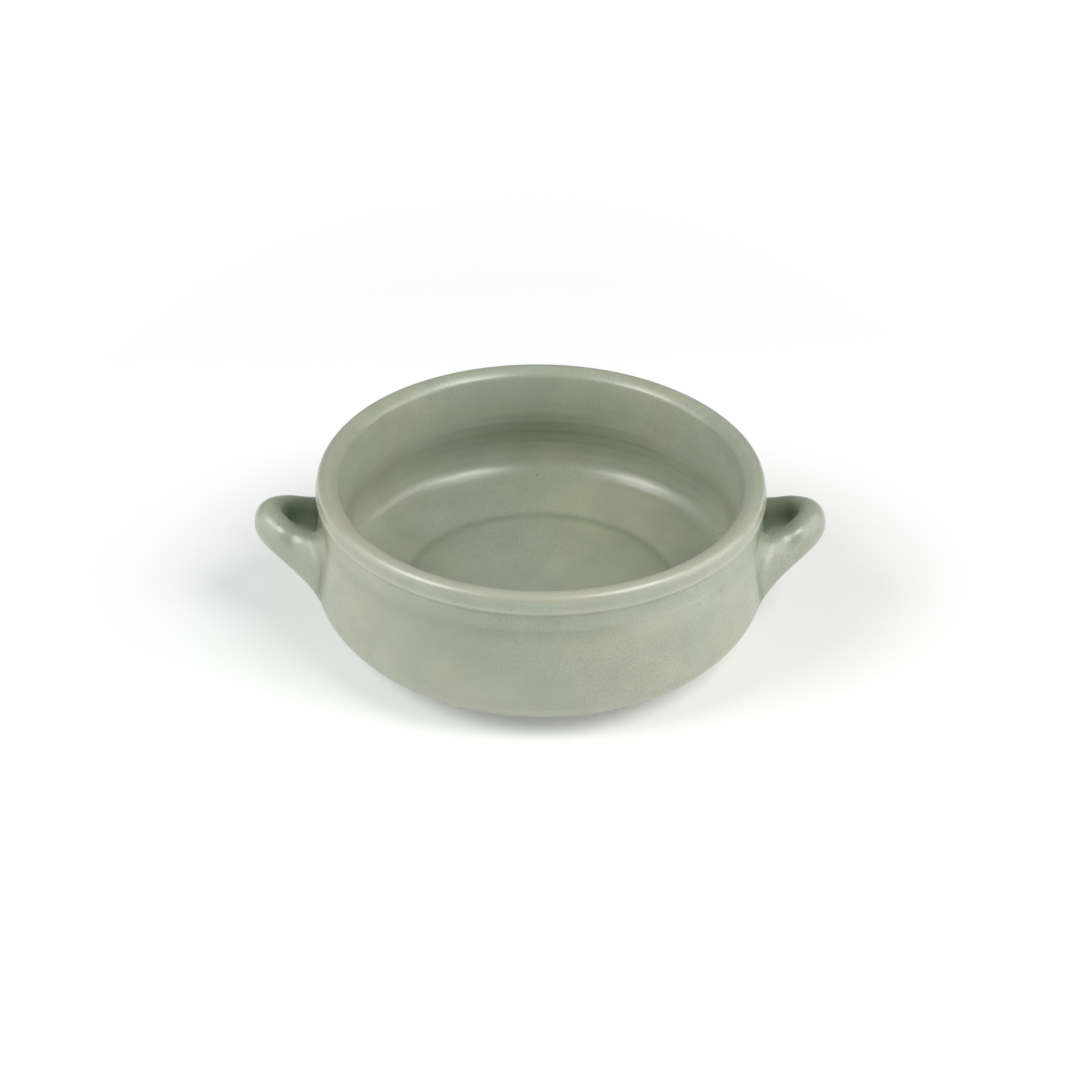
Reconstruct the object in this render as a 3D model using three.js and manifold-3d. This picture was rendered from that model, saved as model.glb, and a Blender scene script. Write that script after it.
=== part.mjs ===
// A small stoneware dish for tapas: a thrown bowl with a rolled rim, and two rolled clay ears whose
// flared roots are set on the wall in a thin bed of slip. Millimetres, +Z up, the foot on z = 0.
import * as THREE from "three";
import { mergeVertices } from "three/addons/utils/BufferGeometryUtils.js";
import Module from "manifold-3d";

const { degToRad, lerp, clamp } = THREE.MathUtils;

// Driving dimensions of the bowl's outside. Depths are measured down from the crest of the rim.
const RIM_RADIUS = 60; // outside of the small ridge under the rolled rim
const HEIGHT = 46;
const CREST_INSET = 2.7; // the crest of the rim lies this far inside the ridge
const BEAD_RADIUS = 2.3; // section of the rolled rim
const RIDGE_DEPTH = 4.4;
const RIDGE_TURN = 0.6; // how far the profile runs upright above and below the ridge
const NECK_INSET = 1; // the neck stands this far inside the ridge
const NECK_TOP_DEPTH = 6;
const NECK_LINE_DEPTH = 10.6; // a turned line, where the neck meets the wall
const NECK_LINE_STEP = 0.15; // the wall stands this far out from the neck there
const NECK_TURN = 3.6; // how far below the neck line the wall keeps its slope
const NECK_SLOPE = degToRad(14);
const BELLY_BULGE = 1.2; // the belly stands this far outside the rim
const BELLY_HEIGHT = 16;
const BELLY_RISE = 7.4; // how far the wall stays upright above the belly, and below it
const BELLY_DROP = 6;
const FOOT_RADIUS = 43;
const FOOT_WIDTH = 4;
const FOOT_RECESS = 1.8;
const FOOT_TURN = 12.2; // how far out from the foot the wall keeps its slope
const FOOT_SLOPE = degToRad(15);

// Driving dimensions of the bowl's inside
const LIP_RUN = 2.8; // the rim slopes down this far in from its crest, before it turns down
const LIP_DROP = 1.55;
const LIP_TURN = 1.3; // how far the profile keeps its way at each end of the lip
const LIP_SLOPE = degToRad(45);
const WAIST_INSET = 7.5; // the narrowest part of the inside stands this far in from the ridge
const WAIST_DEPTH = 12;
const WAIST_TURN = 5.5; // how far the inside stays upright at the waist
const WALL = 5.6; // across the wall, from the belly to the widest part of the inside
const THROAT_HEIGHT = 19.2; // height of the widest part of the inside
const KNEE_RADIUS = 8; // the inside turns towards the floor by this radius
const KNEE_SLOPE = degToRad(25); // and then runs on at this slope
const CONE_TURN = 4.5; // how far the slope to the floor keeps its way at each end
const CONE_SLOPE = degToRad(15); // its slope where it meets the floor
const FLOOR_HEIGHT = 7.2; // top of the floor above the table
const FLOOR_RADIUS = 38.6;
const FLOOR_STEP = 0.65; // the flat of the floor lies this far below the foot of the slope
const FLOOR_STEP_RUN = 2.2;

// Driving dimensions of the ears. A section's width lies in the plane of the loop.
const EAR_REACH = 13; // centre of the loop's tip, out from the rim
const EAR_TIP_HEIGHT = 30.6;
const EAR_TIP_WIDTH = 7.6;
const EAR_TIP_THICKNESS = 10.8;
const EAR_ROOT_HEIGHT = 21.1;
const EAR_ROOT_SPREAD = 14.5; // centre of each root, off the middle of the ear
const EAR_ROOT_SINK = 4.2; // the roll's centre line is measured this far inside the belly
const EAR_ROOT_OVERRUN = 5; // and runs on straight for this far, to be cut off at the wall
const EAR_ROOT_WIDTH = 13.2;
const EAR_ROOT_THICKNESS = 16.2;
const EAR_FLARE = 4.5; // power by which the section grows towards the root
const EAR_SHARPNESS = 2.4; // weight of the conic that the roll follows: higher bends it tighter
const SLIP_THICKNESS = 0.8;
const SLIP_MARGIN = 0.9; // slip pressed out round the root
const JOINT_GAP = 0.3; // kept on both sides of the slip

// Facets
const TURN_STEPS = 72;
const CURVE_STEPS = 8;
const BEAD_STEPS = 4; // in each short curve of the rim
const ROLL_STEPS = 30;
const ROLL_SIDES = 20;
const ROOT_SHARE = 0.3; // share of the roll's length that holds one root
const TANGENT_STEP = 1e-3;

const BELLY_RADIUS = RIM_RADIUS + BELLY_BULGE;
const NECK_RADIUS = RIM_RADIUS - NECK_INSET;
const NECK_TOP = HEIGHT - NECK_TOP_DEPTH;
const CREST_RADIUS = RIM_RADIUS - CREST_INSET;

const stoneware = new THREE.MeshStandardMaterial({ color: 0xa0a690, roughness: 0.42, metalness: 0 });
const slip = new THREE.MeshStandardMaterial({ color: 0x8d9b86, roughness: 0.5, metalness: 0 });

const wasm = await Module();
wasm.setup();

// Points of a cubic curve in the profile plane (radius, height), without its first point.
function curve(from, pullFrom, pullTo, to, steps = CURVE_STEPS) {
  const cubic = new THREE.CubicBezierCurve(from, pullFrom, pullTo, to);
  return cubic.getPoints(steps).slice(1);
}

function point(radius, height) {
  return new THREE.Vector2(radius, height);
}

function above(base, height) {
  return point(base.x, base.y + height);
}

// The point that lies further out from another by a distance, up a slope.
function upSlope(base, slope, distance) {
  return point(base.x + distance * Math.cos(slope), base.y + distance * Math.sin(slope));
}

// Points of a round stretch about a centre, without its first point.
function arc(centre, radius, from, to, steps) {
  const points = [];
  for (let i = 1; i <= steps; i++) {
    points.push(upSlope(centre, lerp(from, to, i / steps), radius));
  }
  return points;
}

// The underside: a shallow turned recess inside the flat foot ring.
function underside() {
  const inner = FOOT_RADIUS - FOOT_WIDTH;
  return [point(0, FOOT_RECESS), point(inner - FOOT_RECESS, FOOT_RECESS), point(inner, 0)];
}

// The outside of the wall, from the foot up to the underside of the rim.
function outerWall() {
  const foot = point(FOOT_RADIUS, 0);
  const footPull = upSlope(foot, FOOT_SLOPE, FOOT_TURN);
  const bellyLow = point(BELLY_RADIUS, BELLY_HEIGHT - BELLY_DROP);
  const belly = point(BELLY_RADIUS, BELLY_HEIGHT);
  const bellyHigh = point(BELLY_RADIUS, BELLY_HEIGHT + BELLY_RISE);
  const neckLine = point(NECK_RADIUS + NECK_LINE_STEP, HEIGHT - NECK_LINE_DEPTH);
  const neckPull = point(
    neckLine.x + NECK_TURN * Math.sin(NECK_SLOPE),
    neckLine.y - NECK_TURN * Math.cos(NECK_SLOPE),
  );
  return [
    foot,
    ...curve(foot, footPull, bellyLow, belly, CURVE_STEPS + 2),
    ...curve(belly, bellyHigh, neckPull, neckLine),
    point(NECK_RADIUS, NECK_TOP),
  ];
}

// The rim, from the top of the neck over the small ridge and round the bead to the crest.
function rim() {
  const neckTop = point(NECK_RADIUS, NECK_TOP);
  const ridge = point(RIM_RADIUS, HEIGHT - RIDGE_DEPTH);
  const beadCentre = point(CREST_RADIUS, HEIGHT - BEAD_RADIUS);
  const beadSide = point(CREST_RADIUS + BEAD_RADIUS, beadCentre.y);
  const turn = RIDGE_TURN;
  return [
    ...curve(neckTop, above(neckTop, turn), above(ridge, -turn), ridge, BEAD_STEPS),
    ...curve(ridge, above(ridge, turn), above(beadSide, -turn), beadSide, BEAD_STEPS),
    ...arc(beadCentre, BEAD_RADIUS, 0, Math.PI / 2, BEAD_STEPS),
  ];
}

// The inside, from the crest down over the lip, waist, throat and knee to the middle of the floor.
function innerWall() {
  const crest = point(CREST_RADIUS, HEIGHT);
  const lip = point(CREST_RADIUS - LIP_RUN, HEIGHT - LIP_DROP);
  const lipStart = point(crest.x - LIP_TURN, crest.y);
  const lipIn = upSlope(lip, LIP_SLOPE, LIP_TURN);
  const lipOut = upSlope(lip, LIP_SLOPE, -LIP_TURN);
  const waist = point(RIM_RADIUS - WAIST_INSET, HEIGHT - WAIST_DEPTH);
  const throat = point(BELLY_RADIUS - WALL, THROAT_HEIGHT);
  const kneeCentre = point(throat.x - KNEE_RADIUS, THROAT_HEIGHT);
  const knee = arc(kneeCentre, KNEE_RADIUS, 0, KNEE_SLOPE - Math.PI / 2, CURVE_STEPS - 2);
  const kneeEnd = knee.at(-1);
  const kneeOut = upSlope(kneeEnd, KNEE_SLOPE, -CONE_TURN);
  const floorEdge = point(FLOOR_RADIUS, FLOOR_HEIGHT + FLOOR_STEP);
  const floorIn = upSlope(floorEdge, CONE_SLOPE, CONE_TURN);
  return [
    ...curve(crest, lipStart, lipIn, lip, BEAD_STEPS),
    ...curve(lip, lipOut, above(waist, WAIST_TURN), waist, CURVE_STEPS - 2),
    ...curve(waist, above(waist, -WAIST_TURN), above(throat, WAIST_TURN), throat),
    ...knee,
    ...curve(kneeEnd, kneeOut, floorIn, floorEdge, BEAD_STEPS),
    point(FLOOR_RADIUS - FLOOR_STEP_RUN, FLOOR_HEIGHT),
    point(0, FLOOR_HEIGHT),
  ];
}

function solid(geometry) {
  geometry.deleteAttribute("normal");
  geometry.deleteAttribute("uv");
  const merged = mergeVertices(geometry);
  return new wasm.Manifold(
    new wasm.Mesh({
      numProp: 3,
      vertProperties: merged.attributes.position.array,
      triVerts: new Uint32Array(merged.index.array),
    }),
  );
}

function mesh(name, piece, material) {
  const { vertProperties, triVerts } = piece.getMesh();
  const geometry = new THREE.BufferGeometry()
    .setAttribute("position", new THREE.BufferAttribute(vertProperties, 3))
    .setIndex(new THREE.BufferAttribute(triVerts, 1));
  geometry.computeVertexNormals();
  const made = new THREE.Mesh(geometry, material);
  made.name = name;
  return made;
}

// A lathe turns about Y, so its axis is stood up along Z.
function turned(profile) {
  return solid(new THREE.LatheGeometry(profile, TURN_STEPS).rotateX(Math.PI / 2));
}

// Everything within the wall's outer face, grown outwards by a distance.
function wallGrownBy(distance) {
  const wall = outerWall().map((p) => point(p.x + distance, p.y));
  return turned([point(0, 0), ...wall, point(0, NECK_TOP)]);
}

// The roll's centre line: a conic from one root round the tip to the other, in a plane that rises
// from the roots to the tip. The control point is placed so that the curve passes the tip.
function rollCentre(t) {
  const rootX = Math.sqrt((BELLY_RADIUS - EAR_ROOT_SINK) ** 2 - EAR_ROOT_SPREAD ** 2);
  const from = new THREE.Vector3(rootX, -EAR_ROOT_SPREAD, EAR_ROOT_HEIGHT);
  const to = new THREE.Vector3(rootX, EAR_ROOT_SPREAD, EAR_ROOT_HEIGHT);
  const tip = new THREE.Vector3(RIM_RADIUS + EAR_REACH, 0, EAR_TIP_HEIGHT);
  const betweenRoots = new THREE.Vector3(rootX, 0, EAR_ROOT_HEIGHT);
  const control = tip.clone().sub(betweenRoots).divideScalar(EAR_SHARPNESS).add(tip);
  const fromShare = (1 - t) ** 2;
  const controlShare = 2 * t * (1 - t) * EAR_SHARPNESS;
  const toShare = t ** 2;
  return new THREE.Vector3()
    .addScaledVector(from, fromShare)
    .addScaledVector(control, controlShare)
    .addScaledVector(to, toShare)
    .divideScalar(fromShare + controlShare + toShare);
}

// The roll as a loft of ellipses that swell towards the roots, grown by a margin. Each end has one
// more ring, pushed on straight.
function roll(margin, start = 0, end = 1) {
  const steps = Math.round(ROLL_STEPS * (end - start));
  const rise = rollCentre(0.5).sub(rollCentre(0)).setY(0).normalize();
  const planeNormal = new THREE.Vector3(-rise.z, 0, rise.x);
  const positions = [];
  for (let i = -1; i <= steps + 1; i++) {
    const step = clamp(i, 0, steps);
    const t = lerp(start, end, step / steps);
    const along = rollCentre(t + TANGENT_STEP).sub(rollCentre(t - TANGENT_STEP)).normalize();
    const across = new THREE.Vector3().crossVectors(planeNormal, along).normalize();
    const centre = rollCentre(t);
    const swell = Math.abs(centre.y / EAR_ROOT_SPREAD) ** EAR_FLARE;
    const width = lerp(EAR_TIP_WIDTH, EAR_ROOT_WIDTH, swell) / 2 + margin;
    const thickness = lerp(EAR_TIP_THICKNESS, EAR_ROOT_THICKNESS, swell) / 2 + margin;
    centre.addScaledVector(along, (i - step) * EAR_ROOT_OVERRUN);
    for (let j = 0; j < ROLL_SIDES; j++) {
      const angle = (2 * Math.PI * j) / ROLL_SIDES;
      const corner = centre.clone();
      corner.addScaledVector(across, width * Math.cos(angle));
      corner.addScaledVector(planeNormal, thickness * Math.sin(angle));
      positions.push(...corner);
    }
  }
  return closedLoft(positions, steps + 3, ROLL_SIDES);
}

// Joins rings of points into a closed surface, with a fan across the first and the last ring.
function closedLoft(positions, rings, sides) {
  const index = [];
  for (let i = 0; i + 1 < rings; i++) {
    for (let j = 0; j < sides; j++) {
      const a = i * sides + j;
      const b = i * sides + ((j + 1) % sides);
      index.push(a, b, a + sides, b, b + sides, a + sides);
    }
  }
  const last = (rings - 1) * sides;
  for (let j = 1; j + 1 < sides; j++) {
    index.push(0, j + 1, j);
    index.push(last, last + j, last + j + 1);
  }
  return new THREE.BufferGeometry()
    .setAttribute("position", new THREE.Float32BufferAttribute(positions, 3))
    .setIndex(index);
}

// One ear on the +X side: the roll with its roots cut to the wall, and the slip under each root.
// The roots are named in the order that the roll meets them, from -Y to +Y.
function ear(side, firstRoot, secondRoot) {
  const slipInside = wallGrownBy(JOINT_GAP);
  const slipOutside = wallGrownBy(JOINT_GAP + SLIP_THICKNESS);
  const seat = wallGrownBy(JOINT_GAP + SLIP_THICKNESS + JOINT_GAP);
  const bed = (start, end) =>
    solid(roll(SLIP_MARGIN, start, end)).intersect(slipOutside).subtract(slipInside);
  const group = new THREE.Group();
  group.add(
    mesh(`handle_${side}`, solid(roll(0)).subtract(seat), stoneware),
    mesh(`slip_joint_${side}_${firstRoot}`, bed(0, ROOT_SHARE), slip),
    mesh(`slip_joint_${side}_${secondRoot}`, bed(1 - ROOT_SHARE, 1), slip),
  );
  return group;
}

const bowl = turned([...underside(), ...outerWall(), ...rim(), ...innerWall()]);
const rightEar = ear("right", "front", "rear");
const leftEar = ear("left", "rear", "front");
leftEar.rotation.z = Math.PI;

const dish = new THREE.Group();
dish.add(mesh("bowl_body", bowl, stoneware), rightEar, leftEar);

export default dish;
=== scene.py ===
import math

import bpy
import numpy as np
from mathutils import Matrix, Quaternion, Vector


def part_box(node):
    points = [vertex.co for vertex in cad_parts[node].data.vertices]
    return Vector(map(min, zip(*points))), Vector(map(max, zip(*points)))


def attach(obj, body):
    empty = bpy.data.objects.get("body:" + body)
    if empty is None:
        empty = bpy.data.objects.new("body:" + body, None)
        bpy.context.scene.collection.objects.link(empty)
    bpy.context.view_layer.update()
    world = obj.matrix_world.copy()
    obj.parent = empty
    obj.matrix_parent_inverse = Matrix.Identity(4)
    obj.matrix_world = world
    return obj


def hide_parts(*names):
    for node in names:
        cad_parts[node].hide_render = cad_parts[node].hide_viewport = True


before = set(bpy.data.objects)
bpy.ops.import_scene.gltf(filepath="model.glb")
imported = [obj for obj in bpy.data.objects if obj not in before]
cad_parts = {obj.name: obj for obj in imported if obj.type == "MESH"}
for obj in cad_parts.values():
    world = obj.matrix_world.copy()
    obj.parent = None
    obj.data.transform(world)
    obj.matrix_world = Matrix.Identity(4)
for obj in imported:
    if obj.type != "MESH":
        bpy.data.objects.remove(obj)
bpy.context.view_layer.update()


# The bowl is thrown in stoneware as one piece: turned foot ring, rounded belly, straight neck, and a
# rolled rim with a small ridge under the roll. It is dipped in a satin sage glaze, which thins on the
# edges and pools in the creases, and the foot ring is wiped bare before firing.

MM = 0.001
bowl_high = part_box("bowl_body")[1]
HEIGHT = bowl_high.z / MM
BELLY = bowl_high.y / MM
RIM = BELLY - 1.2
CREST = RIM - 2.7
RIDGE = HEIGHT - 4.5
NECK_LINE = HEIGHT - 10.6
RECESS = 1.8
FOOT = 43.0
FOOT_WIDTH = 4.0
FLOOR = 7.2
FLOOR_EDGE = 38.0
FLOOR_MIDDLE = 30.0
FLOOR_CORNER = 12.0
POLE_RING = 1.5
TURN_STEPS = 320

# Stops: radius, height, heading in degrees, handle before, handle after, steps to the next stop.
UNDERSIDE = [
    (POLE_RING, RECESS, 0, 0, 10, 10),
    (FOOT - FOOT_WIDTH - 2, RECESS, 0, 10, 1.2, 8),
    (FOOT - FOOT_WIDTH + 0.2, 0.3, -60, 0.6, 0.2, 4),
    (FOOT - FOOT_WIDTH + 0.7, 0, 0, 0.2, 0.8, 4),
    (FOOT, 0, 0, 0.8, 0.4, 6),
]
OUTSIDE = [
    (FOOT, 0, 0, 0.8, 0.4, 6),
    (FOOT + 1.2, 0.35, 15, 0.4, 11, 44),
    (BELLY, 16, 90, 6, 7.4, 44),
    (RIM - 0.85, NECK_LINE, 102, 3.6, 0.8, 8),
    (RIM - 1, NECK_LINE + 2, 91, 0.7, 0.9, 8),
    (RIM - 1, RIDGE - 2, 90, 0.8, 0.8, 10),
    (RIM, RIDGE, 90, 0.7, 0.6, 10),
    (RIM - 0.4, HEIGHT - 2.3, 90, 0.9, 1.27, 12),
    (CREST, HEIGHT, 180, 1.27, 0.55, 6),
]
INSIDE = [
    (CREST, HEIGHT, 180, 1.27, 0.55, 6),
    (CREST - 1.5, HEIGHT - 0.45, 213.5, 0.55, 0.6, 6),
    (CREST - 2.8, HEIGHT - 1.55, 225, 0.6, 0.7, 6),
    (CREST - 3.55, HEIGHT - 3.4, 254, 0.7, 1.2, 6),
    (CREST - 4.3, HEIGHT - 6.7, 258, 1.2, 1.9, 8),
    (CREST - 4.8, HEIGHT - 12, 270, 1.9, 3.0, 14),
    (CREST - 3.2, HEIGHT - 20, 290, 2.8, 2.3, 14),
    (CREST - 1.7, HEIGHT - 26.8, 270, 2.3, 2.12, 14),
    (CREST - 4.04, HEIGHT - 32.46, 225, 2.12, 0.93, 6),
    (CREST - 6.32, HEIGHT - 34.05, 205, 0.93, 4.5, 24),
    (FLOOR_EDGE + 0.6, FLOOR + 0.65, 195, 4.5, 0.5, 8),
    (FLOOR_EDGE - 1.6, FLOOR, 180, 0.8, 10, 24),
    (POLE_RING, FLOOR, 180, 10, 0, 0),
]


def flow(stops):
    """Radius and height in metres along cubic curves through stops; the last stop is left out."""
    curves = []
    for here, there in zip(stops, stops[1:]):
        leave = np.radians(here[2])
        arrive = np.radians(there[2])
        start = np.array(here[:2])
        end = np.array(there[:2])
        pull = start + here[4] * np.array([np.cos(leave), np.sin(leave)])
        push = end - there[3] * np.array([np.cos(arrive), np.sin(arrive)])
        t = np.linspace(0, 1, here[5], endpoint=False)[:, None]
        near = (1 - t) ** 3 * start + 3 * t * (1 - t) ** 2 * pull
        curves.append(near + 3 * t**2 * (1 - t) * push + t**3 * end)
    return np.concatenate(curves) * MM


def bump_at(values, place, width):
    """Bell curve of height 1 about place."""
    return np.exp(-(((values - place) / width) ** 2))


def ease(values, low, high):
    """0 below low, 1 above high, with a soft step between."""
    share = np.clip((values - low) / (high - low), 0, 1)
    return share**2 * (3 - 2 * share)


def put_mesh(name, points, faces):
    """Smooth mesh object at the origin from points in metres and faces as lists of point numbers."""
    mesh = bpy.data.meshes.new(name)
    mesh.from_pydata(points, [], faces)
    mesh.shade_smooth()
    piece = bpy.data.objects.new(name, mesh)
    bpy.context.collection.objects.link(piece)
    return piece


def put_attribute(piece, name, values):
    """One number for each point of a piece, which its material reads by name."""
    layer = piece.data.attributes.new(name, "FLOAT", "POINT")
    layer.data.foreach_set("value", np.asarray(values, dtype=np.float32).ravel())


def band_faces(rows, columns):
    """Quads of a grid of rows by columns whose last column joins its first."""
    row, column = np.meshgrid(np.arange(rows - 1), np.arange(columns), indexing="ij")
    here = row * columns + column
    beside = row * columns + (column + 1) % columns
    return np.stack([here, beside, beside + columns, here + columns], axis=-1).reshape(-1, 4)


def fan_faces(ring, hub):
    """Triangles from a closed ring of point numbers to one hub."""
    return np.stack([ring, np.roll(ring, 1), np.full_like(ring, hub)], axis=1)


underside, outer, inner = flow(UNDERSIDE), flow(OUTSIDE), flow(INSIDE)
profile = np.concatenate([underside, outer, inner])
radius, height = profile[:, 0], profile[:, 1]
tangent = np.gradient(profile, axis=0)
tangent /= np.linalg.norm(tangent, axis=1)[:, None]
normal = np.stack([tangent[:, 1], -tangent[:, 0]], axis=1)
place = np.arange(len(profile))
outside = (place >= len(underside)) & (place < len(underside) + len(outer))
inside = place >= len(underside) + len(outer)

# What the hand leaves on the wheel, in millimetres: finger rings, a groove at the neck line, and a rim
# that isn't quite round or level. The two parts of the oval are shares of the radius.
RING_DEPTH = 0.025
WIDE_RING = 3.3
FINE_RING = 1.9
FINE_RING_SHARE = 0.6
RINGS_FADE = [4, 10, HEIGHT - 10, HEIGHT - 6]
RINGS_INSIDE_FROM = 44.0
NECK_GROOVE = 0.06
NECK_GROOVE_WIDTH = 0.5
OVAL = 0.0012
THREE_LOBES = 0.0007
RIM_WAVER = 0.1

turn = np.linspace(0, 2 * math.pi, TURN_STEPS, endpoint=False)
sweep = turn[None, :]
rise = height[:, None] / MM
reach = radius[:, None] / MM
up_wall = rise / HEIGHT
facing_front = 0.5 - 0.5 * np.sin(sweep)
on_outside = outside[:, None]
on_inside = inside[:, None]

wide_rings = np.sin(rise / WIDE_RING * 2 * math.pi + sweep)
fine_rings = np.sin(rise / FINE_RING * 2 * math.pi + sweep + 1)
ringed = (on_outside | on_inside & (reach > RINGS_INSIDE_FROM)) * np.interp(rise, RINGS_FADE, [0, 1, 1, 0])
push = RING_DEPTH * ringed * (wide_rings + FINE_RING_SHARE * fine_rings)
groove = on_outside * bump_at(rise, NECK_LINE, NECK_GROOVE_WIDTH) * facing_front**2
push = push - NECK_GROOVE * groove
oval = 1 + up_wall * (OVAL * np.cos(2 * sweep + 0.6) + THREE_LOBES * np.cos(3 * sweep + 2.0))
waver = RIM_WAVER * up_wall**3 * (np.cos(2 * sweep + 1.1) + 0.5 * np.cos(5 * sweep) - 1)
grid_radius = (radius[:, None] + MM * push * normal[:, :1]) * oval
grid_height = height[:, None] + MM * (push * normal[:, 1:] + waver)
bowl_points = np.stack([grid_radius * np.cos(sweep), grid_radius * np.sin(sweep), grid_height], axis=-1)
hubs = np.array([[0, 0, RECESS], [0, 0, FLOOR]]) * MM
ring = np.arange(TURN_STEPS)
last_ring = ring + (len(profile) - 1) * TURN_STEPS
hub = len(profile) * TURN_STEPS
bowl_faces = band_faces(len(profile), TURN_STEPS).tolist()
bowl_faces += fan_faces(ring, hub).tolist() + fan_faces(last_ring[::-1], hub + 1).tolist()
bowl = put_mesh("glazed_bowl", np.concatenate([bowl_points.reshape(-1, 3), hubs]), bowl_faces)

# Depth of the glaze, from 0 where it is thinnest to 1 where it is thickest, and how much is added in the
# pools or taken off by wear at each place. Some amounts are painted light and shade rather than glaze: the
# far wall, its lower corner, the inside on the right, the front of the belly and the wall inside the ears
# are made darker as painted shade, the pool in the floor crease is deepened as painted shade, and the
# front of the crest and the neck on the right are made paler as painted light.
GLAZE_EVEN = 0.5
# The floor crease is darker where glaze pools in it, and the pool is deepened as painted shade of the step.
FLOOR_CREASE_POOL_AND_SHADE = 0.24
NECK_LINE_POOL = 0.1
# Painted shade on the wall inside the ears, given as added glaze depth.
LOOP_SHADE = 0.42
LOOP_SHADE_ENDS = (0.28, 0.4)
LOOP_SHADE_HEIGHT = 28.0
LOOP_SHADE_SPREAD = 13.0
# Painted shade: a darker band on the far inner wall, given as added glaze depth.
FAR_WALL_SHADE = 0.16
# Painted shade: the far lower corner of the inside is made darker, given as added glaze depth.
FAR_CORNER_SHADE = 0.112
# Painted shade: the low inside is made darker towards the right, given as added glaze depth.
RIGHT_INSIDE_SHADE = 0.1
# Painted shade: the front of the belly, left of centre, is made darker, given as added glaze depth.
FRONT_WALL_SHADE = 0.15
RIDGE_WEAR = 0.3
# Painted light: the crest is made paler on the front, given as thinner glaze.
FRONT_CREST_LIGHT = 0.32
# Painted highlight: the neck right of the front is made paler, given as thinner glaze.
RIGHT_NECK_HIGHLIGHT = 0.3
WIPED_ROWS = 5


def shade_in_loops(turned, rise):
    """Painted shade on the wall inside the ears, given as added glaze depth: a soft step off past both roots
    times a bell in height.
    """
    between_roots = 1 - ease(np.abs(np.sin(turned)), *LOOP_SHADE_ENDS)
    return LOOP_SHADE * between_roots * bump_at(rise, LOOP_SHADE_HEIGHT, LOOP_SHADE_SPREAD)


from_front = sweep - 1.5 * math.pi
far_side = (np.sin(sweep) > 0) * bump_at(np.cos(sweep), place=0, width=0.3)
# The floor crease is darker where glaze pools in it, and the pool is deepened as painted shade of the step.
floor_crease_pool_and_shade = on_inside * bump_at(reach, place=FLOOR_EDGE - 0.6, width=1.1) * (rise < FLOOR_CORNER)
under_neck_line = on_outside * bump_at(rise, place=NECK_LINE - 1.2, width=1.8)
# Painted shade: a darker band on the far inner wall, given as added glaze depth.
far_wall_shade = on_inside * far_side * bump_at(rise, place=27, width=7)
# Painted shade: the far lower corner of the inside is made darker, given as added glaze depth.
far_corner_shade = on_inside * far_side**3 * bump_at(rise, place=13, width=4)
low_inside = on_inside * (1 - ease(rise, low=10, high=24)) * np.minimum(reach / FLOOR_MIDDLE, 1)
# Painted shade: the low inside is made darker towards the right, given as added glaze depth.
right_inside_shade = low_inside * ease(np.cos(sweep), low=0, high=1)
# Painted shade: the front of the belly, left of centre, is made darker, given as added glaze depth.
front_wall_shade = on_outside * bump_at(from_front, place=-0.25, width=0.45) * bump_at(rise, place=29, width=10)
on_ridge = on_outside * bump_at(rise, place=RIDGE, width=0.6)
# Painted light: the crest is made paler on the front, given as thinner glaze.
front_crest_light = bump_at(rise, place=HEIGHT - 0.6, width=1.1) * facing_front**2
# Painted highlight: the neck right of the front is made paler, given as thinner glaze.
right_neck_highlight = on_outside * bump_at(from_front, place=0.55, width=0.2) * bump_at(rise, place=34, width=3)
glaze_and_painted_light = GLAZE_EVEN + on_outside * shade_in_loops(sweep, rise)
glaze_and_painted_light = glaze_and_painted_light + FLOOR_CREASE_POOL_AND_SHADE * floor_crease_pool_and_shade + NECK_LINE_POOL * under_neck_line
glaze_and_painted_light = glaze_and_painted_light + FAR_WALL_SHADE * far_wall_shade + FAR_CORNER_SHADE * far_corner_shade
glaze_and_painted_light = glaze_and_painted_light + RIGHT_INSIDE_SHADE * right_inside_shade + FRONT_WALL_SHADE * front_wall_shade
glaze_and_painted_light = glaze_and_painted_light - RIDGE_WEAR * on_ridge
glaze_and_painted_light = glaze_and_painted_light - FRONT_CREST_LIGHT * front_crest_light - RIGHT_NECK_HIGHLIGHT * right_neck_highlight
put_attribute(bowl, "glaze_and_painted_light", np.concatenate([glaze_and_painted_light.ravel(), [GLAZE_EVEN, GLAZE_EVEN]]))
bare = (place < len(underside) + WIPED_ROWS) & (radius > (FOOT - FOOT_WIDTH) * MM)
bare_grid = np.repeat(bare[:, None], TURN_STEPS, axis=1).ravel()
put_attribute(bowl, "bare_clay", np.concatenate([bare_grid, [0, 0]]))


def node(tree, kind, inputs=(), **settings):
    """New shader node with its settings and with sockets set to values or linked to other sockets."""
    made = tree.nodes.new(kind)
    for setting, value in settings.items():
        setattr(made, setting, value)
    for socket, value in dict(inputs).items():
        if isinstance(value, bpy.types.NodeSocket):
            tree.links.new(value, made.inputs[socket])
        else:
            made.inputs[socket].default_value = value
    return made


def mixed(tree, share, first, second, blend="MIX"):
    """Colour socket of first and second mixed by share."""
    mix = node(tree, "ShaderNodeMix", data_type="RGBA", blend_type=blend)
    for socket, value in ((mix.inputs["Factor"], share), (mix.inputs[6], first), (mix.inputs[7], second)):
        if isinstance(value, bpy.types.NodeSocket):
            tree.links.new(value, socket)
        else:
            socket.default_value = value
    return mix.outputs[2]


def spread(tree, value, source, target):
    """Value carried from the range source to the range target and held at its ends."""
    inputs = {0: value, 1: source[0], 2: source[1], 3: target[0], 4: target[1]}
    return node(tree, "ShaderNodeMapRange", inputs).outputs[0]


def combined(tree, operation, first, second):
    """Number socket of first and second combined by a math operation."""
    return node(tree, "ShaderNodeMath", {0: first, 1: second}, operation=operation).outputs[0]


def srgb(red, green, blue):
    """Linear RGBA of a colour that is written as 0 to 255 in sRGB."""
    parts = np.array([red, green, blue]) / 255
    linear = np.where(parts <= 0.04045, parts / 12.92, ((parts + 0.055) / 1.055) ** 2.4)
    return (*linear.tolist(), 1.0)


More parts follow.
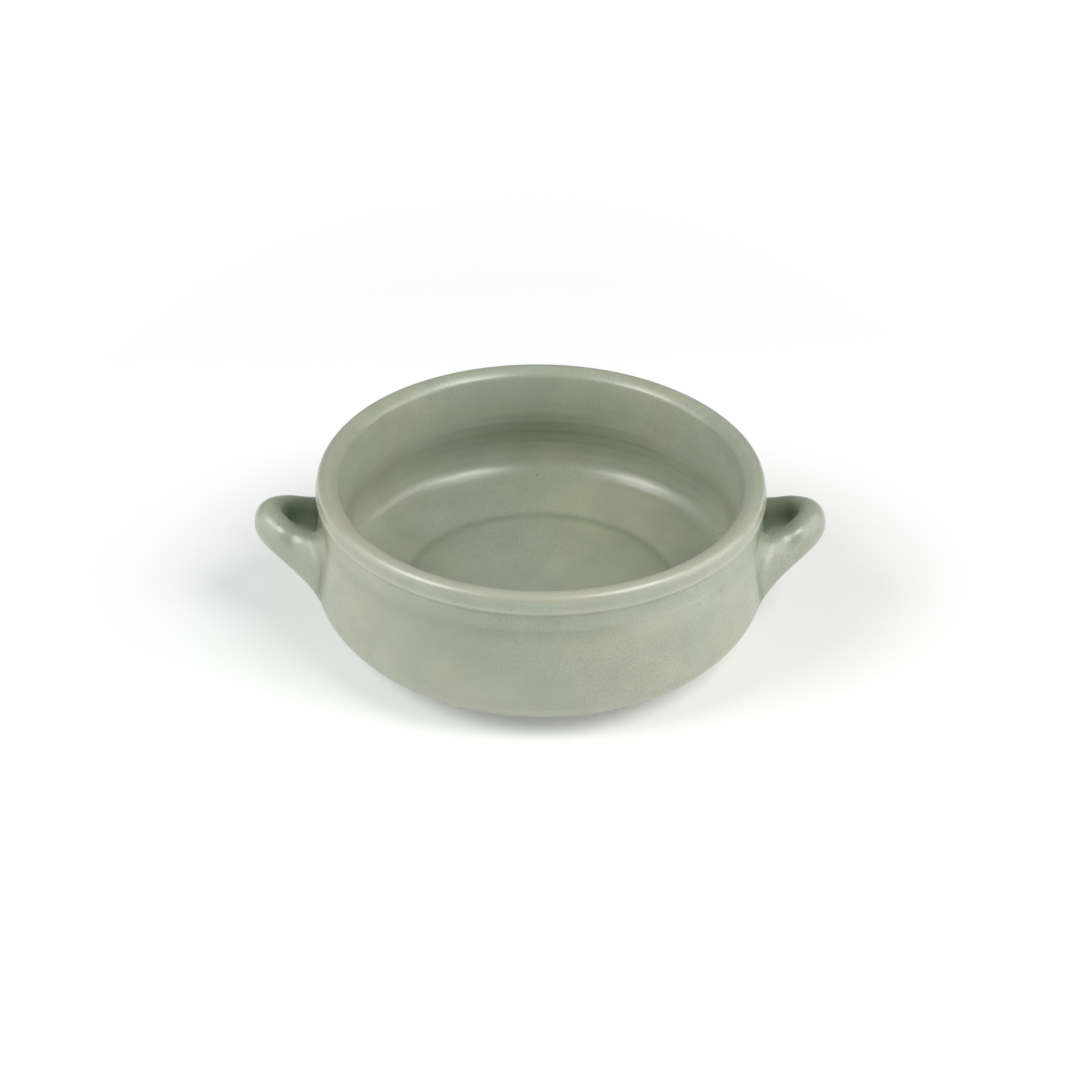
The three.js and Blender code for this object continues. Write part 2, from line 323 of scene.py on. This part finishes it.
WARM_SAGE = srgb(172, 173, 150)
COOL_SAGE = srgb(164, 172, 153)
THIN_GLAZE_AND_LIGHT = srgb(194, 191, 170)
POOLED_GLAZE_AND_SHADE = srgb(112, 130, 101)
PINHOLE = srgb(138, 141, 118)
PALE_CLAY = srgb(205, 188, 160)
BROWN_CLAY = srgb(176, 154, 124)
SATIN = (0.28, 0.33)
BARE_DULLNESS = 0.5
PEEL_HEIGHT = 0.08
PEEL_STRENGTH = 0.35
PIT_HEIGHT = 0.05
PIT_STRENGTH = 0.5

# Fineness of the glaze's patterns, in features per metre.
DRIFT = 24.0
PITTED_PATCH = 32.0
CLOUD = 110.0
SATIN_PATCH = 260.0
PINHOLE_CELL = 330.0
PEEL = 420.0
CLAY_GRAIN = 900.0
PIT = 1700.0
SPECKLE = 1900.0


def sage_glaze():
    """Satin glaze: warm and cool sage drift into each other, with fine speckle, pinholes and pitting.
    It is paler where glaze_and_painted_light is low and greener where it is high, as the glaze thins and
    pools and, in places, as painted light and painted shade. It is buff clay where bare_clay is 1."""
    material = bpy.data.materials.new("sage_glaze")
    material.use_nodes = True
    tree = material.node_tree
    shader = tree.nodes["Principled BSDF"]
    where = node(tree, "ShaderNodeTexCoord").outputs["Object"]

    def noise(scale, detail=2.0, shift=0.0):
        """Noise socket of a fineness, read from the piece's own coordinates moved by shift each way."""
        moved = node(tree, "ShaderNodeMapping", {"Vector": where, "Location": (shift, shift, shift)})
        inputs = {"Vector": moved.outputs[0], "Scale": scale, "Detail": detail}
        return node(tree, "ShaderNodeTexNoise", inputs).outputs["Fac"]

    drift = spread(tree, noise(DRIFT, 3.0, 0.31), (0.38, 0.62), (0.0, 1.0))
    colour = mixed(tree, drift, WARM_SAGE, COOL_SAGE)
    cloud = spread(tree, noise(CLOUD, 3.0, 0.7), (0.3, 0.7), (0.94, 1.06))
    colour = mixed(tree, 1.0, colour, cloud, "MULTIPLY")
    pitted = spread(tree, noise(PITTED_PATCH, 2.0, 1.3), (0.42, 0.6), (0.25, 1.0))
    speckle = spread(tree, noise(SPECKLE), (0.3, 0.7), (0.88, 1.12))
    colour = mixed(tree, pitted, colour, mixed(tree, 1.0, colour, speckle, "MULTIPLY"))
    cells = node(tree, "ShaderNodeTexVoronoi", {"Vector": where, "Scale": PINHOLE_CELL})
    chosen = node(tree, "ShaderNodeSeparateColor", {0: cells.outputs["Color"]}).outputs[0]
    rare = spread(tree, chosen, (0.955, 0.975), (0.0, 1.0))
    hole = spread(tree, cells.outputs["Distance"], (0.06, 0.14), (1.0, 0.0))
    colour = mixed(tree, combined(tree, "MULTIPLY", rare, hole), colour, PINHOLE)

    # The depth read here also holds painted light and painted shade, which take the paler and greener
    # colours.
    glaze_and_painted_light = node(tree, "ShaderNodeAttribute", attribute_name="glaze_and_painted_light").outputs["Fac"]
    thinned_and_lit = spread(tree, glaze_and_painted_light, (GLAZE_EVEN, 0.0), (0.0, 1.0))
    pooled_and_shaded = spread(tree, glaze_and_painted_light, (GLAZE_EVEN, 1.0), (0.0, 1.0))
    colour = mixed(tree, thinned_and_lit, colour, THIN_GLAZE_AND_LIGHT)
    colour = mixed(tree, pooled_and_shaded, colour, POOLED_GLAZE_AND_SHADE)

    bare_clay = node(tree, "ShaderNodeAttribute", attribute_name="bare_clay").outputs["Fac"]
    clay = mixed(tree, noise(CLAY_GRAIN, 3.0), PALE_CLAY, BROWN_CLAY)
    colour = mixed(tree, bare_clay, colour, clay)
    tree.links.new(colour, shader.inputs["Base Color"])
    shader.inputs["Specular IOR Level"].default_value = 1.0
    satin = spread(tree, noise(SATIN_PATCH, 2.0, 2.1), (0.3, 0.7), SATIN)
    dull = combined(tree, "MULTIPLY", bare_clay, BARE_DULLNESS)
    tree.links.new(combined(tree, "ADD", satin, dull), shader.inputs["Roughness"])

    peel_inputs = {"Height": noise(PEEL), "Strength": PEEL_STRENGTH, "Distance": PEEL_HEIGHT * MM}
    peel = node(tree, "ShaderNodeBump", peel_inputs).outputs[0]
    pits = combined(tree, "MULTIPLY", noise(PIT), pitted)
    pit_inputs = {"Height": pits, "Strength": PIT_STRENGTH, "Distance": PIT_HEIGHT * MM, "Normal": peel}
    tree.links.new(node(tree, "ShaderNodeBump", pit_inputs).outputs[0], shader.inputs["Normal"])
    return material


glaze = sage_glaze()
bowl.data.materials.append(glaze)
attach(bowl, "root")
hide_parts("bowl_body")


# Each ear is a rolled length of the same clay, bent into a loop and pressed onto the leather-hard wall
# with slip. The slip is smoothed into a fillet round both roots, which the glaze covers and pools in, so
# one mesh stands for the ear and for its two beds of slip.

EAR_TIP = np.array([72.95, 0, 30.7])
EAR_TIP_LEAN = math.radians(17)
EAR_LEAN_LOST = 0.5
EAR_TIP_HALF = {"out": 3.95, "in": 3.6, "top": 4.8, "bottom": 5.7}
EAR_ROOT_RADIUS = 57.0
EAR_ROOT_SPREAD = 15.1
EAR_SHARPNESS = 1.83
EAR_OVERRUN = 9.0
EAR_DIP_AT = 0.54
EAR_DIP_LENGTH = 0.42
EAR_LEVELS_OFF = 0.06
EAR_BLUNTNESS = 0.2
SEATED = 0.1
SUNK = 0.25
EAR_GLAZE = 0.55
# Glaze pooling in the ears' creases, and painted shade on the inner side of their loops.
EAR_POOL_AND_SHADE = 0.3
EAR_WEAR = 0.3
POOL_WIDTH = 0.6
EAR_TRACE = 400
EAR_SIDES = 128
ARM_ROWS = 44
SHOULDER_ROWS = 16
CREASE_ROWS = 12
LEAST_STEP = 1e-9

wall_height = height[outside] / MM
wall_radius = radius[outside] / MM
wall_slope = np.gradient(wall_radius, wall_height)
ear_angle = np.linspace(0, 2 * math.pi, EAR_SIDES, endpoint=False)
outward_share = np.cos(ear_angle)
upward_share = np.sin(ear_angle)
shoulder_way = np.linspace(0, 1, SHOULDER_ROWS, endpoint=False)
crease_way = np.linspace(0, 1, CREASE_ROWS)
bent = crease_way * math.pi / 2


def around(sizes):
    """One size for each angle round the arm, blended from the sizes to its four sides by squares."""
    across = np.where(outward_share > 0, sizes["out"], sizes["in"])
    over = np.where(upward_share > 0, sizes["top"], sizes["bottom"])
    return across * outward_share**2 + over * upward_share**2


def by_rows(loop, shoulder, crease, sunk):
    """Column with a value for each row of an arm: of its loop, its shoulder, its crease and its sunk end."""
    parts = ((loop, ARM_ROWS), (shoulder, SHOULDER_ROWS), (crease, CREASE_ROWS), (sunk, 1))
    return np.concatenate([np.broadcast_to(values, count) for values, count in parts])[:, None]


def arm_sweep(side, root_height, dip, half, flare, low_out, widens, skew):
    """Lines along half an ear, from the ring at its tip into the wall, and their offsets from its centre
    line. The centre line is a conic that runs on straight past the root. Each ring is an oval with a half
    size of its own to each side, which grows from tip to root by a power of the way out. The oval is an
    ellipse at the tip and grows blunter, with lower powers of cosine and sine. Its upper outside rises and
    falls in a wave, as deep as dip, where the roll was squeezed. At the root the outward half size grows
    from low_out to its full one over the range widens of the upward share, and the oval leans outward by
    skew times its height."""
    root_x = math.sqrt(EAR_ROOT_RADIUS**2 - EAR_ROOT_SPREAD**2)
    root = np.array([root_x, side * EAR_ROOT_SPREAD, root_height])
    other = root * [1, -1, 1]
    control = EAR_TIP + (EAR_TIP - (root + other) / 2) / EAR_SHARPNESS
    t = np.linspace(0.5, 1, EAR_TRACE)[:, None]
    shares = [(1 - t) ** 2, 2 * EAR_SHARPNESS * t * (1 - t), t**2]
    centre = (shares[0] * other + shares[1] * control + shares[2] * root) / sum(shares)
    ahead = (centre[-1] - centre[-2]) / np.linalg.norm(centre[-1] - centre[-2])
    run_on = np.linspace(0, EAR_OVERRUN, EAR_TRACE // 4)[1:, None]
    centre = np.concatenate([centre, centre[-1] + run_on * ahead])
    along = np.gradient(centre, axis=0)
    along /= np.linalg.norm(along, axis=1)[:, None]
    way = np.abs(centre[:, 1:2]) / EAR_ROOT_SPREAD
    past_dip = way - EAR_DIP_AT
    wave = np.sin(past_dip / EAR_DIP_LENGTH * 2 * math.pi) * bump_at(past_dip, 0, EAR_DIP_LENGTH / 2)
    past_root = np.maximum(way - 1, 0) / EAR_LEVELS_OFF
    way = np.minimum(way, 1) + EAR_LEVELS_OFF * (1 - np.exp(-past_root))
    lean = EAR_TIP_LEAN * (1 - EAR_LEAN_LOST * np.minimum(way, 1) ** 2)
    up = np.concatenate([-np.sin(lean), 0 * lean, np.cos(lean)], axis=1)
    out = side * np.cross(along, up)
    out /= np.linalg.norm(out, axis=1)[:, None]

    def grown(key, root_size):
        """Half size to one side: the tip's, which becomes the root's by a power of the way out."""
        return EAR_TIP_HALF[key] + (root_size - EAR_TIP_HALF[key]) * way ** flare[key]

    root_out = low_out + (half["out"] - low_out) * ease(upward_share, *widens)
    power = 1 - EAR_BLUNTNESS * np.minimum(way, 1) ** 4
    across = np.where(outward_share > 0, grown("out", root_out), grown("in", half["in"]))
    across = across * np.sign(outward_share) * np.abs(outward_share) ** power
    over = np.where(upward_share > 0, grown("top", half["top"]), grown("bottom", half["bottom"]))
    over = over * np.sign(upward_share) * np.abs(upward_share) ** power
    across = across + skew * way**4 * over
    upper_outside = np.clip(outward_share, 0, 1) * np.clip(upward_share, 0, 1)
    across = across - dip * wave * upper_outside
    over = over - dip * wave * upper_outside
    offset = across[..., None] * out[:, None, :] + over[..., None] * up[:, None, :]
    return centre[:, None, :] + offset, offset


def gap_to_wall(points):
    """Distance of points from the bowl's outer wall."""
    lean = np.interp(points[..., 2], wall_height, wall_slope)
    wall = np.interp(points[..., 2], wall_height, wall_radius)
    return (np.hypot(points[..., 0], points[..., 1]) - wall) / np.sqrt(1 + lean**2)


def arm_glaze_and_shade(rows, crease, loop_shade):
    """Depth of the glaze on the rows of an arm, with painted shade. It pools in the crease, the less the
    wider that is. The inner side of the loop is made darker as painted shade, by amounts for its tip, middle
    and root. It is worn to a thinner coat on the shoulder's upper front, and comes to the wall's own depth
    where the crease runs out."""
    in_crease = by_rows(0, shoulder_way**6, np.cos(bent), 0) * np.minimum(POOL_WIDTH / crease, 1)
    way_out = by_rows(np.linspace(0, 1, ARM_ROWS), 1, 1, 1)
    # Painted shade: the inner side of the loop is made darker, given as added glaze depth.
    shade_in_loop = loop_shade["tip"] + (loop_shade["root"] - loop_shade["tip"]) * way_out**2
    shade_in_loop = shade_in_loop + loop_shade["middle"] * bump_at(way_out, place=0.6, width=0.2)
    inner_side = ease(-outward_share, low=-0.1, high=0.9)
    depth = EAR_GLAZE + EAR_POOL_AND_SHADE * np.maximum(in_crease, inner_side * shade_in_loop)
    upper_front = ease(outward_share, low=0.2, high=0.8) * ease(upward_share, low=0.1, high=0.6)
    worn = by_rows(0, bump_at(shoulder_way, place=0.45, width=0.3), 0, 0) * upper_front
    depth = depth - EAR_WEAR * worn
    on_wall = GLAZE_EVEN + shade_in_loops(np.arctan2(rows[..., 1], rows[..., 0]), rows[..., 2])
    return depth + by_rows(0, 0, crease_way**2, 1) * (on_wall - depth)


def ear_arm(side, shoulder, shrink, crease, loop_shade, **form):
    """Rows of rings from the tip to the root, in millimetres, with the depth of the glaze and painted shade
    at each point.
    Within the shoulder's distance from the wall a line draws in by shrink times a square, as pressed clay
    does. It then runs out along the wall on a quarter circle of the crease's radius, which is laid onto
    the curved wall and ends just under its surface."""
    surface, offset = arm_sweep(side, **form)
    gap = np.minimum.accumulate(gap_to_wall(surface), axis=0)
    column = np.arange(EAR_SIDES)

    def where_gap_is(target):
        """Place along each line, in samples, at which its gap to the wall has shrunk to target."""
        before = np.clip((gap[None] > target[:, None, :]).sum(axis=1) - 1, 0, len(gap) - 2)
        first, second = gap[before, column], gap[before + 1, column]
        return before + np.clip((first - target) / np.maximum(first - second, LEAST_STEP), 0, 1)

    def sample(values, index):
        """Values at fractional places along each line."""
        before = np.clip(index.astype(int), 0, len(values) - 2)
        share = (index - before)[..., None]
        return (1 - share) * values[before, column] + share * values[before + 1, column]

    shoulder, shrink, crease = around(shoulder), around(shrink), around(crease)
    near = shoulder_way[:, None]
    shoulder_gap = (1 - near) * shoulder + near * crease
    near_gap = np.concatenate([shoulder_gap, crease * (1 - np.sin(bent[:, None]))])
    near_index = where_gap_is(near_gap)
    arm_index = np.linspace(0, 1, ARM_ROWS, endpoint=False)[:, None] * near_index[0]
    index = np.concatenate([arm_index, near_index])
    points = sample(surface, index)
    outward = sample(offset, index)
    turned = np.arctan2(points[..., 1], points[..., 0])
    lean = np.interp(points[..., 2], wall_height, wall_slope)
    wall_normal = np.stack([np.cos(turned), np.sin(turned), -lean], axis=-1)
    wall_normal /= np.linalg.norm(wall_normal, axis=-1)[..., None]
    outward -= (outward * wall_normal).sum(axis=-1)[..., None] * wall_normal
    outward /= np.linalg.norm(outward, axis=-1)[..., None]
    drawn_in = shrink * np.clip(1 - near_gap / shoulder, 0, 1) ** 2
    run_out = np.concatenate([0 * shoulder_gap, crease * (1 - np.cos(bent[:, None]))])
    points[ARM_ROWS:] += (run_out - drawn_in)[..., None] * outward[ARM_ROWS:]
    seated = SEATED * np.concatenate([0 * shoulder_way, crease_way**4])[:, None]
    stands_off = gap_to_wall(points[ARM_ROWS:]) - near_gap + seated
    points[ARM_ROWS:] -= stands_off[..., None] * wall_normal[ARM_ROWS:]
    sunk_row = points[-1:] - SUNK * wall_normal[-1:]
    rows = np.concatenate([points, sunk_row])
    return rows, arm_glaze_and_shade(rows, crease, loop_shade)


def ear(name, hand, front, rear):
    """Whole ear: both arms joined at the tip ring and closed inside the wall, on the right or, with hand
    -1, mirrored to the left."""
    front_points, front_depth = ear_arm(-1, **front)
    rear_points, rear_depth = ear_arm(1, **rear)
    rings = np.concatenate([front_points[::-1], rear_points[1:]])
    depth = np.concatenate([front_depth[::-1], rear_depth[1:]])
    ends = rings[[0, -1]].mean(axis=1)
    points = np.concatenate([rings.reshape(-1, 3), ends]) * [hand, 1, 1] * MM
    ring = np.arange(EAR_SIDES)
    hub = len(rings) * EAR_SIDES
    last_ring = ring + (len(rings) - 1) * EAR_SIDES
    faces = [band_faces(len(rings), EAR_SIDES), fan_faces(ring, hub), fan_faces(last_ring[::-1], hub + 1)]
    piece = put_mesh(name, points, [face[::hand] for group in faces for face in group.tolist()])
    put_attribute(piece, "glaze_and_painted_light", np.concatenate([depth.ravel(), [GLAZE_EVEN, GLAZE_EVEN]]))
    piece.data.materials.append(glaze)
    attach(piece, "root")
    return piece


left_front = {
    "root_height": 22.8,
    "dip": 0.5,
    "half": {"out": 5.7, "in": 4.8, "top": 13.8, "bottom": 12.0},
    "flare": {"out": 5.9, "in": 5.0, "top": 4.6, "bottom": 5.4},
    "low_out": 5.0,
    "widens": (-0.3, 0.4),
    "skew": 0.08,
    "shoulder": {"out": 3.0, "in": 3.4, "top": 4.0, "bottom": 2.4},
    "shrink": {"out": 0.6, "in": 0.1, "top": 0.0, "bottom": 0.0},
    "crease": {"out": 0.5, "in": 2.0, "top": 2.8, "bottom": 1.6},
    "loop_shade": {"tip": 0.5, "middle": 0.0, "root": 0.3},
}
right_front = {
    "root_height": 22.2,
    "dip": 0.5,
    "half": {"out": 6.3, "in": 4.8, "top": 12.7, "bottom": 12.0},
    "flare": {"out": 5.9, "in": 5.0, "top": 4.6, "bottom": 5.6},
    "low_out": 5.8,
    "widens": (-0.5, 0.2),
    "skew": 0.1,
    "shoulder": {"out": 3.0, "in": 3.4, "top": 4.0, "bottom": 2.4},
    "shrink": {"out": 0.5, "in": 0.1, "top": 0.0, "bottom": 0.2},
    "crease": {"out": 0.45, "in": 2.0, "top": 2.8, "bottom": 1.2},
    "loop_shade": {"tip": 0.5, "middle": 0.0, "root": 0.3},
}
rear = {
    "root_height": 21.0,
    "dip": 0.2,
    "half": {"out": 7.0, "in": 4.4, "top": 4.5, "bottom": 10.0},
    "flare": {"out": 5.9, "in": 5.0, "top": 4.0, "bottom": 2.6},
    "low_out": 7.0,
    "widens": (-0.5, 0.5),
    "skew": 0.0,
    "shoulder": {"out": 2.2, "in": 2.0, "top": 2.0, "bottom": 2.0},
    "shrink": {"out": 0.5, "in": 0.2, "top": 0.2, "bottom": 0.2},
    "crease": {"out": 0.8, "in": 0.8, "top": 1.2, "bottom": 1.0},
    "loop_shade": {"tip": 0.5, "middle": 1.2, "root": 0.0},
}
right_ear = ear("right_ear", 1, right_front, rear)
left_ear = ear("left_ear", -1, left_front, rear)
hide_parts("handle_right", "slip_joint_right_front", "slip_joint_right_rear")
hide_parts("handle_left", "slip_joint_left_front", "slip_joint_left_rear")


# The dish stands on a plain white sheet, which catches its shadow. To the camera and in reflections the
# sheet also glows a little, and more so farther from the dish, so that it shows white out to the edges.
# To all other light it is ordinary paper.

FLOOR_HALF = 4.0
PAPER = (0.9, 0.9, 0.9, 1)
WHITE = (1, 1, 1, 1)
GLOW_DISTANCE = (0.2, 0.5)
GLOW_STRENGTH = (0.2, 0.5)


def shown_white(tree):
    """1 for rays from the camera, from gloss and through glass, 0 for the rest."""
    path = node(tree, "ShaderNodeLightPath").outputs
    seen = combined(tree, "MAXIMUM", path["Is Camera Ray"], path["Is Glossy Ray"])
    return combined(tree, "MAXIMUM", seen, path["Is Transmission Ray"])


corners = np.array([[-1, -1, 0], [1, -1, 0], [1, 1, 0], [-1, 1, 0]]) * FLOOR_HALF
sheet = put_mesh("white_sheet", corners, [[0, 1, 2, 3]])
paper = bpy.data.materials.new("white_paper")
paper.use_nodes = True
paper_tree = paper.node_tree
paper_tree.nodes.clear()
plain = node(paper_tree, "ShaderNodeBsdfDiffuse", {"Color": PAPER}).outputs[0]
on_sheet = node(paper_tree, "ShaderNodeTexCoord").outputs["Object"]
from_dish = node(paper_tree, "ShaderNodeVectorMath", {0: on_sheet}, operation="LENGTH").outputs["Value"]
lift = spread(paper_tree, from_dish, GLOW_DISTANCE, GLOW_STRENGTH)
glow = node(paper_tree, "ShaderNodeEmission", {"Color": WHITE, "Strength": lift}).outputs[0]
lifted = node(paper_tree, "ShaderNodeAddShader", {0: plain, 1: glow}).outputs[0]
by_ray = {0: shown_white(paper_tree), 1: plain, 2: lifted}
look = node(paper_tree, "ShaderNodeMixShader", by_ray).outputs[0]
node(paper_tree, "ShaderNodeOutputMaterial", {"Surface": look})
sheet.data.materials.append(paper)


# The light is a plain studio: a soft box high on each side, a little to the front, and a larger and lower
# one beside the dish on each side, the right ones stronger, in an even pale room.

LAMP_DISTANCE = 1.2
HIGH_BOX = 0.55
LOW_BOX = 1.0
COOL_LIGHT = (0.97, 1.0, 1.0)
WARM_LIGHT = (1.0, 1.0, 0.98)
ROOM_LEVEL = 0.2


def softbox(name, way, size, power, colour):
    """Square area lamp that faces the dish from a given way."""
    lamp = bpy.data.lights.new(name, "AREA")
    lamp.size = size
    lamp.energy = power
    lamp.color = colour
    holder = bpy.data.objects.new(name, lamp)
    holder.location = Vector(way).normalized() * LAMP_DISTANCE
    holder.rotation_euler = Vector(way).to_track_quat("Z", "Y").to_euler()
    bpy.context.collection.objects.link(holder)


softbox("left_softbox", (-0.66, -0.277, 0.70), HIGH_BOX, 5.5, COOL_LIGHT)
softbox("right_softbox", (0.5, -0.355, 0.79), HIGH_BOX, 5.9, WARM_LIGHT)
softbox("left_fill", (-0.95, -0.1, 0.35), LOW_BOX, 4.0, COOL_LIGHT)
softbox("right_fill", (0.95, -0.1, 0.35), LOW_BOX, 6.2, WARM_LIGHT)
room = bpy.data.worlds.new("pale_room")
room.use_nodes = True
room_tree = room.node_tree
room_tree.nodes.clear()
pale = node(room_tree, "ShaderNodeBackground", {"Color": WHITE, "Strength": ROOM_LEVEL})
node(room_tree, "ShaderNodeOutputWorld", {"Surface": pale.outputs[0]})
bpy.context.scene.world = room
bpy.context.scene.view_settings.view_transform = "Standard"


# The camera looks down at the dish from just left of its front, as the photograph does, through a lens
# of medium length.

CAMERA_AZIMUTH = math.radians(-1.3)
CAMERA_ELEVATION = math.radians(33.51)
CAMERA_ROLL = math.radians(0.757)
CAMERA_DISTANCE = 0.6
CAMERA_TARGET = Vector((-0.1 * MM, 0, 23.5 * MM))
LENS = 73.62
SENSOR_WIDTH = 36.0

camera = bpy.data.objects.new("camera", bpy.data.cameras.new("camera"))
camera.data.lens = LENS
camera.data.sensor_width = SENSOR_WIDTH
back = Vector((
    math.sin(CAMERA_AZIMUTH) * math.cos(CAMERA_ELEVATION),
    -math.cos(CAMERA_AZIMUTH) * math.cos(CAMERA_ELEVATION),
    math.sin(CAMERA_ELEVATION),
))
camera.location = CAMERA_TARGET + CAMERA_DISTANCE * back
facing = (-back).to_track_quat("-Z", "Y") @ Quaternion((0, 0, 1), CAMERA_ROLL)
camera.rotation_euler = facing.to_euler()
bpy.context.collection.objects.link(camera)
bpy.context.scene.camera = camera
